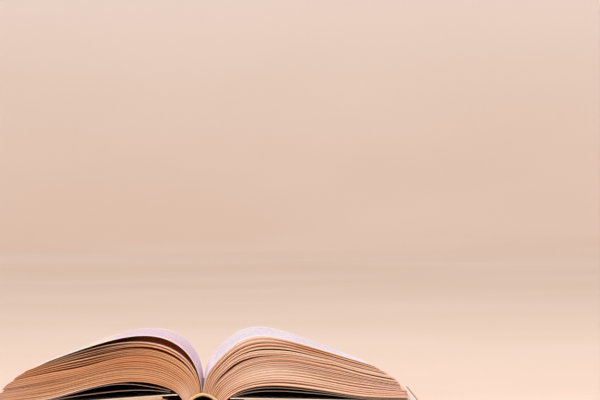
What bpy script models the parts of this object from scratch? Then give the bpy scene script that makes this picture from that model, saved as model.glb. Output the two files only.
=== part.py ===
"""An open hardback book lying face up, its leaves risen in two humps on either side of the gutter.

Metres. X runs across the spread, Y from tail to head and Z up, and the origin is on the table under
the middle of the spine. The text block is a few stacked sections on each side. The uppermost left
leaf is loose, and its outer length lifts about a crease, as a leaf does when it is about to be turned.
"""
from math import atan2, cos, sin

import bmesh
import bpy
import numpy as np
from mathutils import Matrix, Vector

NAME = "open_hardback_book"

# Driving dimensions
PAGE_HEIGHT = 0.234
LEFT_LEAF = 0.156
RIGHT_LEAF = 0.152           # the right half sits deeper in the rounded back, so less of a leaf shows
RIGHT_SWELL = 0.0035         # its middle leaves reach this much further
RIGHT_SLANT = 0.0065         # its lowest leaf ends this much short of the top one
COVER_HEIGHT = 0.240
HALF_SPREAD = 0.1635         # gutter to the outer edge of a board, which stands 3 mm proud of the leaves
BOARD = 0.0028
SHEET = 0.0004               # endpapers, flyleaves and the loose leaf
CLOTH = 0.0006
GAP = 0.0003                 # between pieces that touch

# The covers lie on their outer edges and on the spine strip
LEFT_HINGE = (-0.0235, 0.0116)
RIGHT_HINGE = (0.0235, 0.0083)
HINGE_TO_BOARD = 0.007       # open joint between the hinge line and the board's inner edge
BOARD_EDGE_ROUND = 0.0006
HINGE_SLIT = 0.0005          # between the two halves of a hinged sheet
PASTEDOWN_INSET = 0.002      # board left bare past the pastedown's outer edge
ENDPAPER_AIR = 0.00045       # from the block's shoulder to the endpaper's edge
SPINE_STRIP_HALF = 0.0152
SPINE_STRIP = 0.0012
CLOTH_OFF_TABLE = 0.0001
CLOTH_SPLIT = (0.38, 0.56)   # shares of the joint where its spine half ends and its board half begins

# A leaf path leaves the fold at a point, in a direction in degrees, and then has bends:
# (middle of the bend along the leaf, its reach, its turn in degrees)
LEFT_TOP = ((-0.0006, 0.0116), 78.7, [(0.0392, 0.0195, 121.4)])
LEFT_BOTTOM = ((-0.0127, 0.0028), 107.8, [(0.0126, 0.002, 27.9), (0.0303, 0.0189, 61.6), (0.115, 0.005, -13.7)])
RIGHT_TOP = ((0.0003, 0.0116), 84.8, [(0.014, 0.004, -35.5), (0.057, 0.0098, -67.1)])
RIGHT_BOTTOM = ((0.0133, 0.0022), 108.3, [(0.002, 0.0177, -119.4), (0.1135, 0.005, 9.3)])
SPINE_ROUND = 0.002          # rise of the folds above a straight line from gutter to foot
SPINE_FADE = 0.012
# The leaves lie lower at the head than at the tail: (drop of the top leaf's outer edge, its growth along the leaf)
LEFT_HEAD_DROOP = (0.0065, 1)
RIGHT_HEAD_DROOP = (0.0065, 2)
DROOP_FADE = 1.5             # how long the leaves keep that drop on the way down to the lowest one

# Sections from the top down: (share of the paper, extra air below, where it is widest, its sharpness)
LEFT_SECTIONS = [
    (0.095, 0.0008, 0.050, 4),
    (0.10, 0.0004, 0.110, 9),
    (0.12, 0.0002, 0.060, 4),
    (0.13, 0.0003, 0.090, 6),
    (0.14, 0.0002, 0.040, 4),
    (0.14, 0.0003, 0.075, 6),
    (0.14, 0.0002, 0.100, 6),
    (0.135, 0.0, 0.100, 6),
]
RIGHT_SECTIONS = [
    (0.13, 0.0003, 0.060, 4),
    (0.11, 0.0005, 0.050, 4),
    (0.10, 0.0009, 0.034, 6),
    (0.12, 0.0003, 0.060, 4),
    (0.20, 0.0002, 0.050, 4),
    (0.145, 0.0003, 0.060, 4),
    (0.115, 0.0007, 0.055, 5),
    (0.08, 0.0, 0.060, 4),
]
LOOSE_LEAF_LIFT = (0.0038, 0.054, 4)     # air below the loose leaf, where it is widest, its sharpness
LOOSE_LEAF_START = 0.0015                # from the fold
LOOSE_LEAF_CREASE = 0.050                # from the fold to the line that its outer length lifts about

# Flyleaves from the top down: (share of the room above the board that one sags, where it rises again)
LEFT_FLYLEAVES = [(0.34, 0.050, 0.009), (0.52, 0.104, 0.010)]
RIGHT_FLYLEAVES = [(0.12, 0.100, 0.014), (0.34, 0.108, 0.014)]
FLYLEAF_ROOM = 0.0003        # spare room above the board where the flyleaves begin
FLYLEAF_AIR = 0.0004         # from the block to the first flyleaf where they lie together

LINING = 0.0007
BAND_RADIUS = 0.0009
BAND_REACH = 0.8             # share of each half's folds that an end band covers

STEP = 0.0005
PATH_REACH = 0.170
ALONG = np.arange(0, PATH_REACH, STEP)
SHOULDER = slice(0, 60)      # the steps of a bottom path that rise from the foot over the shoulder
STATIONS = np.concatenate([np.linspace(0, 0.4, 15)[:-1], np.linspace(0.4, 1, 13)])
LOOSE_INNER_STATIONS = 13
LOOSE_OUTER_STATIONS = 17
BACK_STATIONS = 9
EDGE_SEGMENTS = 2
BAND_RESOLUTION = 2

# Finishes: (screen colour, roughness)
PAPER_LEFT = ((0.76, 0.55, 0.40), 0.85)
PAPER_RIGHT = ((0.86, 0.71, 0.60), 0.85)
PAPER_WHITE = ((0.90, 0.86, 0.88), 0.8)
COVER_TAN = ((0.76, 0.60, 0.47), 0.65)
LINING_CREAM = ((0.86, 0.72, 0.55), 0.9)
BAND_GOLD = ((0.85, 0.62, 0.30), 0.7)


def clear_scene():
    for item in list(bpy.data.objects):
        bpy.data.objects.remove(item, do_unlink=True)


def make_collection():
    group = bpy.data.collections.new(NAME)
    bpy.context.scene.collection.children.link(group)
    return group


def linear(colour):
    """A screen colour as the linear values that a shader takes."""
    return [((c + 0.055) / 1.055) ** 2.4 if c > 0.04045 else c / 12.92 for c in colour]


def finish(name, mesh, look, origin=(0, 0, 0)):
    """Put a mesh in the book's collection as a named piece with its own material."""
    colour, roughness = look
    mesh.transform(Matrix.Translation(-Vector(origin)))
    piece = bpy.data.objects.new(name, mesh)
    piece.location = origin
    bpy.data.collections[NAME].objects.link(piece)
    material = bpy.data.materials.new(name)
    material.use_nodes = True
    shader = material.node_tree.nodes["Principled BSDF"]
    shader.inputs["Base Color"].default_value = (*linear(colour), 1)
    shader.inputs["Roughness"].default_value = roughness
    shader.inputs["Metallic"].default_value = 0
    mesh.materials.append(material)
    return piece


def loft(name, rings):
    """A closed body through rings of like points, with flat ends."""
    bm = bmesh.new()
    loops = [[bm.verts.new(point) for point in ring] for ring in rings]
    for here, there in zip(loops, loops[1:]):
        for i in range(len(here)):
            j = (i + 1) % len(here)
            bm.faces.new((here[i], here[j], there[j], there[i]))
    bm.faces.new(loops[0])
    bm.faces.new(loops[-1][::-1])
    bmesh.ops.recalc_face_normals(bm, faces=bm.faces)
    mesh = bpy.data.meshes.new(name)
    bm.to_mesh(mesh)
    bm.free()
    return mesh


def sheet_rings(upper, lower, half_height):
    """Rings of a sheet between two paths, from tail to head. A path has X, Z and perhaps a droop at the head."""
    rings = []
    for a, b in zip(upper, lower):
        droops = [p[2] if len(p) > 2 else 0 for p in (a, b)]
        rings.append([(a[0], -half_height, a[1]), (a[0], half_height, a[1] - droops[0]),
                      (b[0], half_height, b[1] - droops[1]), (b[0], -half_height, b[1])])
    return rings


def path(start, direction, bends):
    """Points of a leaf at every step along it, as X and Z."""
    heading = np.full(len(ALONG), np.radians(direction))
    for middle, reach, turn in bends:
        heading += np.radians(turn) / (1 + np.exp(-(ALONG - middle) / reach))
    steps = STEP * np.column_stack([np.cos(heading), np.sin(heading)])
    return np.array(start) + np.cumsum(steps, axis=0) - steps[0]


def swelling(along, widest, sharpness):
    """From 0 at the fold to 1 where a gap is widest, and back towards 0."""
    ratio = along / widest
    return (ratio * np.exp(1 - ratio)) ** sharpness


class Half:
    """One side of the open block: every leaf lies between its top path and its bottom path."""

    def __init__(self, top, bottom, leaf, swell, slant, droop):
        self.top = path(*top)
        self.bottom = path(*bottom)
        self.leaf = leaf
        self.swell = swell
        self.slant = slant
        self.droop = droop
        across = self.bottom - self.top
        heading = np.gradient(self.top + self.bottom, axis=0)
        heading /= np.linalg.norm(heading, axis=1)[:, None]
        self.thickness = np.abs(heading[:, 0] * across[:, 1] - heading[:, 1] * across[:, 0])
        out = np.array([-across[0, 1], across[0, 0]]) / np.linalg.norm(across[0])
        self.out = out if out[1] > 0 else -out

    def leaf_line(self, depth):
        """The leaf at a depth under the top one: X, Z and its droop at the head, at each station."""
        share = depth / self.thickness
        bulge = 4 * share * (1 - share)
        rounding = SPINE_ROUND * bulge * np.exp(-ALONG / SPINE_FADE)
        points = self.top + share[:, None] * (self.bottom - self.top) + rounding[:, None] * self.out
        runs = np.linalg.norm(np.diff(points, axis=0), axis=1)
        length = np.concatenate([[0], np.cumsum(runs)])
        end = np.interp(0, length - self.leaf - self.swell * bulge + self.slant * share, ALONG)
        stations = STATIONS * end
        line = [np.interp(stations, ALONG, points[:, i]) for i in (0, 1)]
        droop = self.droop_at(STATIONS) * (1 - np.interp(stations, ALONG, share) ** DROOP_FADE)
        return np.column_stack([*line, droop])

    def droop_at(self, places):
        """How much lower the top leaf lies at the head, at places from 0 at the fold to 1 at its outer edge."""
        drop, growth = self.droop
        return drop * places ** growth

    def fold_line(self, shares):
        """Points of the folds from the gutter to the foot, as X and Z."""
        shares = np.asarray(shares)[:, None]
        straight = self.top[0] + shares * (self.bottom[0] - self.top[0])
        return straight + SPINE_ROUND * 4 * shares * (1 - shares) * self.out


def make_sections(side, half, sections, air_on_top, look):
    """The stacked sections of one half, each with its own share of the room between the gaps."""
    gaps = [GAP + extra * swelling(ALONG, widest, sharpness) for _, extra, widest, sharpness in sections[:-1]]
    room = half.thickness - air_on_top - sum(gaps)
    depth = air_on_top
    for number, section in enumerate(sections):
        upper = half.leaf_line(depth)
        depth = depth + section[0] * room
        lower = half.leaf_line(depth)
        if number < len(gaps):
            depth = depth + gaps[number]
        name = f"{side}_section_{number + 1}"
        mesh = loft(name, sheet_rings(upper, lower, PAGE_HEIGHT / 2))
        finish(name, mesh, look)


def make_loose_leaf(half):
    """The uppermost left leaf, in two curved lengths that meet at the crease, its axis on their upper face."""
    heading = np.gradient(half.top, axis=0)
    heading /= np.linalg.norm(heading, axis=1)[:, None]
    inward = np.column_stack([-heading[:, 1], heading[:, 0]])
    crease = [np.interp(LOOSE_LEAF_CREASE, ALONG, half.top[:, i]) for i in (0, 1)]
    on_axis = (crease[0], 0, crease[1] - half.droop_at(LOOSE_LEAF_CREASE / half.leaf) / 2)
    inner = np.linspace(LOOSE_LEAF_START, LOOSE_LEAF_CREASE - HINGE_SLIT / 2, LOOSE_INNER_STATIONS)
    outer = np.linspace(LOOSE_LEAF_CREASE + HINGE_SLIT / 2, half.leaf, LOOSE_OUTER_STATIONS)
    for part, stations, origin in (("inner", inner, (0, 0, 0)), ("outer", outer, on_axis)):
        upper = np.column_stack([np.interp(stations, ALONG, half.top[:, i]) for i in (0, 1)])
        under = np.column_stack([np.interp(stations, ALONG, inward[:, i]) for i in (0, 1)])
        droop = half.droop_at(stations / half.leaf)
        rings = sheet_rings(np.column_stack([upper, droop]), np.column_stack([upper + SHEET * under, droop]),
                            PAGE_HEIGHT / 2)
        name = f"loose_leaf_{part}"
        finish(name, loft(name, rings), PAPER_WHITE, origin)


def board_top(hinge, x):
    """Height of a pastedown's upper face at a distance from the gutter."""
    drop = hinge[1] - BOARD - SHEET - GAP
    return hinge[1] - drop * (abs(x) - abs(hinge[0])) / (HALF_SPREAD - abs(hinge[0]))


def make_flyleaves(side, half, hinge, flyleaves):
    """Free endpapers between the block and the board, sagging a little in the room between them."""
    lowest = half.leaf_line(half.thickness)
    distance = np.abs(lowest[:, 0])
    pitch = SHEET + GAP
    room = lowest[:, 1] - board_top(hinge, distance) - len(flyleaves) * pitch - GAP
    first = int(np.argmax(room > FLYLEAF_ROOM))
    distance, block, room = distance[first:], lowest[first:, 1], room[first:]
    for number, (sag, rises_at, reach) in enumerate(flyleaves):
        falling = 1 / (1 + np.exp((distance - rises_at) / reach))
        height = block - FLYLEAF_AIR - number * pitch - sag * falling * room
        x = np.sign(hinge[0]) * distance
        upper = np.column_stack([x, height])
        lower = np.column_stack([x, height - SHEET])
        name = f"{side}_flyleaf_{number + 1}"
        mesh = loft(name, sheet_rings(upper, lower, PAGE_HEIGHT / 2))
        finish(name, mesh, PAPER_WHITE)


def place_on_hinge(piece, hinge, slope):
    """Turn a cover piece about its hinge line, where its origin is."""
    piece.location = (hinge[0], 0, hinge[1])
    piece.rotation_euler = (0, slope, 0)


def box_mesh(name, low, high):
    """A box between two corners, from a unit cube."""
    bm = bmesh.new()
    bmesh.ops.create_cube(bm, size=1)
    size = Vector(high) - Vector(low)
    bmesh.ops.scale(bm, vec=size, verts=bm.verts)
    bmesh.ops.translate(bm, vec=(Vector(low) + Vector(high)) / 2, verts=bm.verts)
    mesh = bpy.data.meshes.new(name)
    bm.to_mesh(mesh)
    bm.free()
    return mesh


def span(side, near, far):
    """Two distances from a hinge as low and high X on the given side."""
    return (near, far) if side == "right" else (-far, -near)


def round_edges(piece, width):
    bevel = piece.modifiers.new("edges", "BEVEL")
    bevel.width = width
    bevel.segments = EDGE_SEGMENTS


def make_cover(side, hinge):
    """A board with its pastedown, which bridges the joint as far as the hinge line."""
    sign = 1 if side == "right" else -1
    slope = sign * atan2(hinge[1] - BOARD - SHEET - GAP, HALF_SPREAD - abs(hinge[0]))
    outer = (HALF_SPREAD - abs(hinge[0])) / cos(slope)
    half = COVER_HEIGHT / 2
    low_x, high_x = span(side, HINGE_TO_BOARD, outer)
    top = -SHEET - GAP
    board = box_mesh(f"{side}_board", (low_x, -half, top - BOARD), (high_x, half, top))
    board = finish(f"{side}_board", board, COVER_TAN)
    round_edges(board, BOARD_EDGE_ROUND)
    place_on_hinge(board, hinge, slope)
    low_x, high_x = span(side, HINGE_SLIT / 2, outer - PASTEDOWN_INSET)
    half = PAGE_HEIGHT / 2
    paste = box_mesh(f"{side}_pastedown", (low_x, -half, -SHEET), (high_x, half, 0))
    paste = finish(f"{side}_pastedown", paste, PAPER_WHITE)
    place_on_hinge(paste, hinge, slope)
    return slope


def make_endpaper_joint(side, half, hinge):
    """The endpaper from the block's shoulder to the hinge line."""
    sign = np.sign(hinge[0])
    rise = half.bottom[SHOULDER]
    rise = rise[np.argsort(rise[:, 1])]
    shoulder = np.interp(hinge[1] + GAP, rise[:, 1], rise[:, 0])
    start = shoulder + sign * ENDPAPER_AIR
    end = hinge[0] - sign * HINGE_SLIT / 2
    upper = [(start, hinge[1]), (end, hinge[1])]
    lower = [(start, hinge[1] - SHEET), (end, hinge[1] - SHEET)]
    name = f"{side}_endpaper_joint"
    mesh = loft(name, sheet_rings(upper, lower, PAGE_HEIGHT / 2))
    finish(name, mesh, PAPER_WHITE)


def make_joint_cloth(side, hinge, slope):
    """The cover cloth across the joint, from the spine strip to the board, in two halves."""
    sign = 1 if side == "right" else -1
    low = Vector((sign * (SPINE_STRIP_HALF + GAP), 0, CLOTH_OFF_TABLE))
    reach = HINGE_TO_BOARD - GAP
    depth = SHEET + GAP + BOARD - CLOTH
    high = Vector((hinge[0] + sign * reach * cos(slope) - depth * sin(slope), 0,
                   hinge[1] - abs(sin(slope)) * reach - depth * cos(slope)))
    ends = [(low, low.lerp(high, CLOTH_SPLIT[0])), (low.lerp(high, CLOTH_SPLIT[1]), high)]
    up = Vector((0, 0, CLOTH))
    for part, (a, b) in zip(("spine", "board"), ends):
        upper = [(p + up).xz for p in (a, b)]
        lower = [p.xz for p in (a, b)]
        name = f"{side}_joint_cloth_{part}"
        mesh = loft(name, sheet_rings(upper, lower, COVER_HEIGHT / 2 - BOARD_EDGE_ROUND))
        origin = (0, 0, 0) if part == "spine" else (hinge[0], 0, hinge[1])
        finish(name, mesh, COVER_TAN, origin)


def make_spine_strip():
    """The stiffened strip of the case that lies flat on the table under the hollow."""
    half = COVER_HEIGHT / 2
    mesh = box_mesh("case_spine", (-SPINE_STRIP_HALF, -half, 0), (SPINE_STRIP_HALF, half, SPINE_STRIP))
    strip = finish("case_spine", mesh, COVER_TAN)
    round_edges(strip, BOARD_EDGE_ROUND / 2)


def back_line(left, right, inset, reach=1.0):
    """The rounded back of the block, from foot to foot, moved in towards the hollow."""
    shares = np.linspace(reach, 0, BACK_STATIONS)
    line = np.vstack([left.fold_line(shares), right.fold_line(shares[::-1])[1:]])
    heading = np.gradient(line, axis=0)
    heading /= np.linalg.norm(heading, axis=1)[:, None]
    inward = np.column_stack([heading[:, 1], -heading[:, 0]])
    return line + inset * inward


def make_spine_lining(left, right):
    """The glued lining on the back of the block, over the hollow."""
    upper = back_line(left, right, GAP * 2)
    lower = back_line(left, right, GAP * 2 + LINING)
    mesh = loft("spine_lining", sheet_rings(upper, lower, PAGE_HEIGHT / 2))
    finish("spine_lining", mesh, LINING_CREAM)


def make_end_band(name, left, right, y):
    """A sewn band over the ends of the folds, as a tube."""
    points = back_line(left, right, 0, BAND_REACH)
    curve = bpy.data.curves.new(name, "CURVE")
    curve.dimensions = "3D"
    curve.bevel_depth = BAND_RADIUS
    curve.bevel_resolution = BAND_RESOLUTION
    curve.use_fill_caps = True
    spline = curve.splines.new("POLY")
    spline.points.add(len(points) - 1)
    for point, (x, z) in zip(spline.points, points):
        point.co = (x, y, z, 1)
    finish(name, curve, BAND_GOLD)


def main():
    clear_scene()
    make_collection()
    left = Half(LEFT_TOP, LEFT_BOTTOM, LEFT_LEAF, 0, 0, LEFT_HEAD_DROOP)
    right = Half(RIGHT_TOP, RIGHT_BOTTOM, RIGHT_LEAF, RIGHT_SWELL, RIGHT_SLANT, RIGHT_HEAD_DROOP)
    lift, widest, sharpness = LOOSE_LEAF_LIFT
    air = SHEET + 2 * GAP + lift * swelling(ALONG, widest, sharpness)
    make_sections("left", left, LEFT_SECTIONS, air, PAPER_LEFT)
    make_sections("right", right, RIGHT_SECTIONS, np.zeros(len(ALONG)), PAPER_RIGHT)
    make_loose_leaf(left)
    halves = (("left", left, LEFT_HINGE, LEFT_FLYLEAVES), ("right", right, RIGHT_HINGE, RIGHT_FLYLEAVES))
    for side, half, hinge, flyleaves in halves:
        make_flyleaves(side, half, hinge, flyleaves)
        slope = make_cover(side, hinge)
        make_endpaper_joint(side, half, hinge)
        make_joint_cloth(side, hinge, slope)
    make_spine_strip()
    make_spine_lining(left, right)
    band_y = PAGE_HEIGHT / 2 + BAND_RADIUS + GAP
    make_end_band("tail_band", left, right, -band_y)
    make_end_band("head_band", left, right, band_y)


main()
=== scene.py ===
"""The looks of an open hardback book: its leaves one by one, its boards, cloth, endpapers and sewn bands.

Metres, in the frame's own axes: X across the spread, Y from tail to head, Z up. The leaves follow the
same paths as the frame's sections, which are named below in the same way.
"""
from math import atan2, cos, pi, radians, sin

import bmesh
import bpy
import numpy as np
from mathutils import Matrix, Vector


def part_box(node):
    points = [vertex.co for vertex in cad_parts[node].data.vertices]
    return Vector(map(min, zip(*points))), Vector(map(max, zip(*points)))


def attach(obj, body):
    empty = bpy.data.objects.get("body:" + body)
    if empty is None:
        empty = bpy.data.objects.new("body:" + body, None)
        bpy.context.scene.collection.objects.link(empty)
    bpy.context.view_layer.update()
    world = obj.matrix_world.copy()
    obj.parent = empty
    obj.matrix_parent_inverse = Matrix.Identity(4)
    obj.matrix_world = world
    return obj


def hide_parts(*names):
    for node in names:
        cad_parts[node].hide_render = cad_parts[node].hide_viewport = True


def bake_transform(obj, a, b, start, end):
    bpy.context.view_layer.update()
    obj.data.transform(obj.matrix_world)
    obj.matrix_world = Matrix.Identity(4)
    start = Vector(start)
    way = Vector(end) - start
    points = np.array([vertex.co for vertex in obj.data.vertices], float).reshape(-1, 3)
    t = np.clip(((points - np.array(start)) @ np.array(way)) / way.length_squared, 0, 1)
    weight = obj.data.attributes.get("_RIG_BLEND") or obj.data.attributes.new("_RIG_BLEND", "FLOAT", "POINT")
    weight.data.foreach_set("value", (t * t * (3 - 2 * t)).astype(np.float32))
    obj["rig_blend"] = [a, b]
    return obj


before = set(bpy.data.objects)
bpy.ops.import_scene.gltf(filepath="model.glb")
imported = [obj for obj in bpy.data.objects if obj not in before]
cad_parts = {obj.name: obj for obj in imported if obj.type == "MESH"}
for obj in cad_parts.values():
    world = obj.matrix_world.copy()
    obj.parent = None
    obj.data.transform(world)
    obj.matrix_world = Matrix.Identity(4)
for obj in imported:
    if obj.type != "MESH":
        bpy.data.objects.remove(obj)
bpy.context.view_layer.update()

# Sizes that the frame's own pieces have
PAGE_HEIGHT = 0.234
TAIL = -PAGE_HEIGHT / 2
HEAD = PAGE_HEIGHT / 2
LEFT_LEAF = 0.156
RIGHT_LEAF = 0.152
RIGHT_SWELL = 0.0035
RIGHT_SLANT = 0.0065
COVER_HEIGHT = 0.240
HALF_SPREAD = 0.1635
BOARD = 0.0028
SHEET = 0.0004
GAP = 0.0003
LEFT_HINGE = (-0.0235, 0.0116)
RIGHT_HINGE = (0.0235, 0.0083)
HINGE_TO_BOARD = 0.007
SPINE_STRIP_HALF = 0.0152
SPINE_STRIP = 0.0012
LEFT_TOP = ((-0.0006, 0.0116), 78.7, [(0.0392, 0.0195, 121.4)])
LEFT_BOTTOM = ((-0.0127, 0.0028), 107.8,
               [(0.0126, 0.002, 27.9), (0.0303, 0.0189, 61.6), (0.115, 0.005, -13.7)])
RIGHT_TOP = ((0.0003, 0.0116), 84.8, [(0.014, 0.004, -35.5), (0.057, 0.0098, -67.1)])
RIGHT_BOTTOM = ((0.0133, 0.0022), 108.3, [(0.002, 0.0177, -119.4), (0.1135, 0.005, 9.3)])
SPINE_ROUND = 0.002
SPINE_FADE = 0.012
LEFT_HEAD_DROOP = (0.0065, 1)
RIGHT_HEAD_DROOP = (0.0065, 2)
DROOP_FADE = 1.5
LINING = 0.0007
BAND_RADIUS = 0.0009
BAND_REACH = 0.8
LOOSE_LEAF_LIFT = (0.0038, 0.054, 4)
LOOSE_LEAF_CREASE = 0.050

# Shares of the paper in the frame's sections, from the top down
LEFT_SECTIONS = (0.095, 0.10, 0.12, 0.13, 0.14, 0.14, 0.14, 0.135)
RIGHT_SECTIONS = (0.13, 0.11, 0.10, 0.12, 0.20, 0.145, 0.115, 0.08)

# Leaves
LEAVES = 165                 # on each side
PAPER_SHARE = 0.82           # of the room that each leaf has, the rest being air
THIN_SHEET = 0.00016         # the open pages
FLYLEAF_SHEET = 0.00018
ENDPAPER_SHEET = 0.00066     # with the paste under it
EDGE_SLIP = 0.00040          # how far the leaves stand back, some more and some less, at tail and head
FORE_EDGE_SLIP = 0.0008
SIGNATURE = 16               # leaves that were folded and sewn together, and slide as one
SLIP_SHARES = (0.5, 0.3, 0.2)    # of a slip: of the whole signature, of a few leaves and of each leaf
BAND_OF_LEAVES = 10          # that are painted lighter or darker together: painted light and shade
TONE_SHARES = (0.25, 0.7, 0.05)  # of a tone: of a slow drift, of those bands and of each leaf
OPEN_GAP = 0.00018           # air under a leaf that lets light on to the next two
LIT_BY_GAP = (0.30, 0.20)    # how much lighter those two are painted: a painted highlight
SEGMENTS = 24                # along a leaf
CROSSWISE = 4                # segments of a plain sheet from tail to head
PAGE_CROSSWISE = 28          # and of an open page
PAGE_TONE = 0.9
COCKLE_WAVES = (1.3, 2.1)    # of an open page, from tail to head and from the fold outwards
# Open pages: (distance from the fold, segments along, how far the paper rises in soft waves, their seed)
RIGHT_PAGE_LIE = (0.0004, 72, 0.0005, 0.2)
LOOSE_LEAF_LIE = (0.0006, 96, 0.0004, 0.6)
RIGHT_PAGE_AIR = 0.00003     # between the right page and the leaf below
CREASE_SPREAD = (-0.022, 0.026)  # from the loose leaf's crease to where its bend begins and ends
# Where the leaves part: (place among them, or first place, last place and how many, the air in each,
# where it is widest, its sharpness)
LEFT_PARTINGS = [
    (0.036, 0.0005, 0.052, 4),
    (0.085, 0.0018, 0.048, 3),
    ((0.026, 0.226, 6), 0.0010, 0.103, 14),
    (0.130, 0.0005, 0.062, 8),
    (0.235, 0.0005, 0.034, 4),
    ((0.190, 0.300, 3), 0.0002, 0.058, 12),
    (0.400, 0.0004, 0.059, 10),
    (0.500, 0.0005, 0.134, 30),
    ((0.545, 0.610, 2), 0.0003, 0.062, 8),
    ((0.620, 0.930, 6), 0.0003, 0.095, 4),
    ((0.330, 0.560, 4), 0.0002, 0.120, 8),
]
RIGHT_PARTINGS = [
    (0.120, 0.0008, 0.034, 3),
    (0.170, 0.0003, 0.064, 9),
    (0.215, 0.0006, 0.050, 3),
    ((0.215, 0.240, 2), 0.0004, 0.064, 12),
    (0.215, 0.0005, 0.128, 6),
    (0.330, 0.0019, 0.034, 3),
    (0.360, 0.0008, 0.140, 14),
    (0.375, 0.0004, 0.046, 8),
    (0.445, 0.0005, 0.044, 3),
    (0.445, 0.0005, 0.118, 6),
    (0.515, 0.0003, 0.055, 4),
    (0.515, 0.0006, 0.120, 6),
    ((0.585, 0.740, 3), 0.0004, 0.120, 6),
    (0.870, 0.0003, 0.024, 6),
    (0.920, 0.0008, 0.052, 4),
    ((0.040, 0.095, 2), 0.0005, 0.128, 10),
]
# Where the leaves rise or sink in the block: (along, its reach, share of the depth, its reach, rise)
LEFT_RIPPLES = [(0.150, 0.025, 0.65, 0.30, 0.06)]
RIGHT_RIPPLES = [
    (0.036, 0.012, 0.35, 0.30, -0.035),
    (0.066, 0.014, 0.22, 0.16, 0.045),
    (0.113, 0.010, 0.25, 0.25, -0.045),
    (0.150, 0.022, 0.50, 0.30, 0.05),
]
# Toned patches on the tail edge: (along, its reach, share of the depth, its reach, how strong)
# "level" makes the leaves there lighter, or darker where it is less than 0
LEFT_PATCHES = {
    "warm": [
        (0.065, 0.022, 0.42, 0.16, 0.7), (0.143, 0.016, 0.33, 0.11, 0.9), (0.092, 0.014, 0.40, 0.06, 0.5),
        (0.152, 0.013, 0.12, 0.16, 0.8),
    ],
    "grey": [(0.102, 0.030, 0.13, 0.12, 1.0), (0.036, 0.018, 0.058, 0.016, 0.7)],
    "rosy": [(0.150, 0.016, 0.75, 0.30, 0.6)],
    "pale": [
        (0.004, 0.010, 0.85, 0.40, 0.9), (0.100, 0.030, 0.97, 0.06, 0.7), (0.025, 0.012, 0.20, 0.05, 0.6),
        (0.040, 0.024, 0.100, 0.012, 0.9),
    ],
    "level": [
        (0.050, 0.040, 0.012, 0.008, 0.6), (0.050, 0.040, 0.062, 0.012, 0.7),
        (0.045, 0.030, 0.112, 0.012, 0.6), (0.066, 0.016, 0.150, 0.010, 0.7),
        (0.130, 0.030, 0.520, 0.010, 0.5), (0.100, 0.050, 0.720, 0.012, 0.5),
        (0.100, 0.050, 0.870, 0.012, 0.5), (0.110, 0.040, 0.960, 0.020, 0.5),
        (0.104, 0.024, 0.140, 0.110, -0.12),
    ],
}
RIGHT_PATCHES = {
    "warm": [
        (0.105, 0.026, 0.09, 0.06, 0.8), (0.105, 0.022, 0.40, 0.07, 0.5), (0.065, 0.020, 0.43, 0.05, 0.3),
    ],
    "grey": [(0.064, 0.014, 0.215, 0.018, 1.0)],
    "rosy": [(0.146, 0.026, 0.80, 0.38, 0.8)],
    "pale": [
        (0.050, 0.026, 0.66, 0.14, 1.0), (0.058, 0.024, 0.03, 0.05, 1.0), (0.145, 0.022, 0.28, 0.03, 1.0),
    ],
    "level": [
        (0.075, 0.030, 0.250, 0.012, 0.7), (0.145, 0.030, 0.280, 0.020, 0.7),
        (0.100, 0.060, 0.478, 0.010, 0.8), (0.130, 0.035, 0.548, 0.012, 0.6),
        (0.140, 0.030, 0.640, 0.012, 0.5), (0.070, 0.040, 0.840, 0.016, 0.4),
        (0.070, 0.050, 0.965, 0.016, 0.7), (0.135, 0.025, 0.060, 0.012, 0.6),
        (0.135, 0.025, 0.130, 0.012, 0.6), (0.135, 0.025, 0.095, 0.014, -0.5),
        (0.140, 0.025, 0.430, 0.016, 0.5), (0.006, 0.016, 0.350, 0.400, -0.25),
        (0.100, 0.022, 0.110, 0.060, -0.2),
    ],
}
# Runs of leaves that stand back at the fore edge, or forward if less than 0: (first place, last place, by)
LEFT_STEPS = [(0.20, 0.29, 0.0012), (0.48, 0.56, 0.0014), (0.74, 0.80, 0.0010)]
RIGHT_STEPS = [
    (0.03, 0.13, -0.0016), (0.13, 0.22, -0.0012), (0.22, 0.31, -0.0006), (0.31, 0.44, -0.0002),
    (0.44, 0.54, 0.0006), (0.54, 0.62, 0.0018), (0.62, 0.67, 0.0042), (0.67, 0.75, -0.0012),
    (0.75, 0.83, 0.0006), (0.83, 0.92, -0.0010),
]
INNER_MARGIN = 0.024         # from the fold to the print
OUTER_MARGIN = 0.019
FOOT_MARGIN = 0.026
TOP_MARGIN = 0.022

# Case
BOARD_ROUND = 0.0009
STRIP_ROUND = 0.0005
PASTEDOWN_INSET = 0.0025     # board left bare past the pastedown's outer edge
HINGE_CLEAR = 0.0005         # from the hinge line to the points next to it
HINGE_BEND = 0.0012          # how far the endpaper bends to each side of the hinge line
CLOTH_SHEET = 0.0006
CLOTH_OFF_TABLE = 0.0001
CLOTH_TUCK = 0.0005          # how far the joint cloth reaches into the spine strip's edge
CLOTH_INTO_BOARD = 0.0006    # and into the board's
CLOTH_BULGE = 0.0004         # how far it is led above that edge
CLOTH_SHORT = 0.0004         # it ends this much inside the boards at tail and head
THREAD_PITCH = 0.00052       # from one turn of the end bands' thread to the next
THREAD_GROOVE = 0.14         # between the turns, as a share of the band's radius

# Steps along a leaf
STEP = 0.0005
PATH_REACH = 0.170
ALONG = np.arange(0, PATH_REACH, STEP)
BEND_WEIGHT = 0.02           # metres: how much closer the stations lie where a leaf bends


# The paths of the leaves

def path(start, direction, bends):
    """Points of a leaf at every step along it, as X and Z."""
    heading = np.full(len(ALONG), np.radians(direction))
    for middle, reach, turn in bends:
        heading += np.radians(turn) / (1 + np.exp(-(ALONG - middle) / reach))
    steps = STEP * np.column_stack([np.cos(heading), np.sin(heading)])
    return np.array(start) + np.cumsum(steps, axis=0) - steps[0]


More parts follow.
